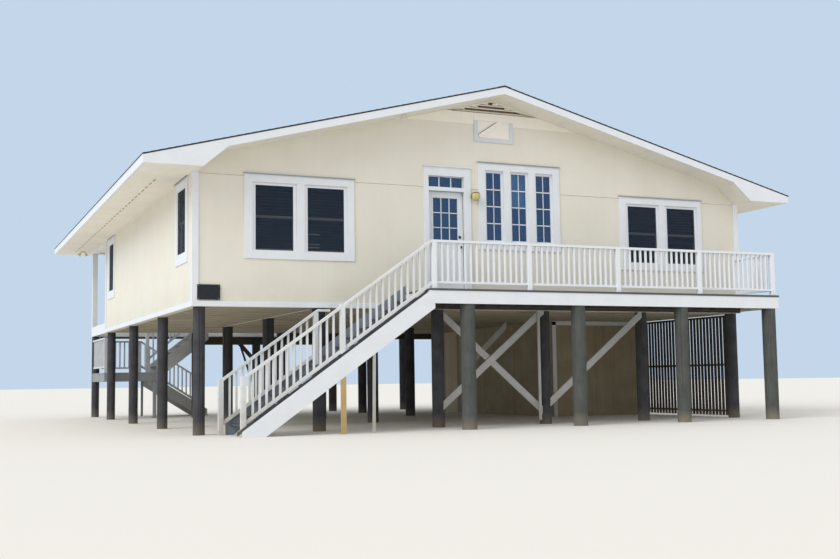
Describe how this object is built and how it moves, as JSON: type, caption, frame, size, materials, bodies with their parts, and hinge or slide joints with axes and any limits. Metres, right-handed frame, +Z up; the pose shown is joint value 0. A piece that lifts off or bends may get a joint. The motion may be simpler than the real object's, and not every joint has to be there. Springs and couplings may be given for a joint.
{
  "type": "beach house",
  "caption": "Raised timber beach house on round piles: hollow body under a low gable roof, front deck and stair, covered rear porch, storage room below and a hinged front door.",
  "frame": {"origin": "centre of the whole building's footprint, at ground level under the piles", "axes": "+X to the right along the front wall, +Y from the front deck to the rear porch, +Z up"},
  "size_m": [14.196, 15.47, 6.749],
  "materials": {
    "cream_siding": "satin exterior paint on flat siding sheets",
    "cream_soffit": "flat exterior paint",
    "white_trim": "semi-gloss white exterior paint on boards",
    "roof_shingle": "granular asphalt shingle",
    "dark_pile": "dark treated timber, rough",
    "grey_timber": "weathered grey treated timber",
    "deck_paint": "worn grey deck paint",
    "pale_timber": "bare treated pine",
    "tan_panel": "flat tan paint on sheet siding",
    "window_glass": "clear flat glass",
    "brass": "worn brass",
    "lamp_body": "aged yellow enamel",
    "sign_black": "black enamel"
  },
  "bodies": {
    "house": {"front_wall_left": "cream_siding", "front_wall_right": "cream_siding", "front_gable": "cream_siding", "left_wall": "cream_siding", "right_wall": "cream_siding", "back_wall": "cream_siding", "rear_gable": "cream_siding", "house_floor": "cream_siding", "bottom_trim": "white_trim", "corner_boards": "white_trim", "roof_left": "cream_soffit", "roof_right": "cream_soffit", "shingles": "roof_shingle", "rake_boards": "white_trim", "eave_fascias": "white_trim", "eave_soffits": "cream_soffit", "front_windows": "white_trim", "side_windows": "white_trim", "rear_windows": "white_trim", "window_glass": "window_glass", "front_door_frame": "white_trim", "rear_door": "white_trim", "gable_vent": "white_trim", "gable_hatch": "white_trim", "wall_lamp": "lamp_body", "floodlights": "white_trim", "sign_plate": "sign_black", "deck_floor": "deck_paint", "deck_frame": "white_trim", "deck_posts": "grey_timber", "deck_rails": "white_trim", "stair_stringers": "white_trim", "stair_treads": "deck_paint", "stair_near_rail": "white_trim", "stair_far_rail": "white_trim", "stair_props": "pale_timber", "front_piles": "dark_pile", "inner_piles": "dark_pile", "porch_piles": "dark_pile", "rear_girder": "dark_pile", "braces": "white_trim", "slat_screen": "dark_pile", "storage_end_walls": "tan_panel", "storage_side_walls": "tan_panel", "porch_floor": "deck_paint", "porch_frame": "white_trim", "porch_posts": "white_trim", "porch_beams": "white_trim", "porch_ceiling": "white_trim", "porch_rails": "white_trim", "landing": "deck_paint", "rear_stringers": "white_trim", "rear_treads": "deck_paint", "rear_stair_rails": "white_trim"},
    "front_door": {"front_door": "white_trim", "front_door_glass": "window_glass", "front_door_hardware": "brass"}
  },
  "joints": [
    {"name": "front_door_hinge", "type": "hinge", "parent": "house", "child": "front_door", "pos_m": [-1.443, -6.329, 2.613], "axis": [0, 0, 1], "range_deg": [0, 100]}
  ]
}
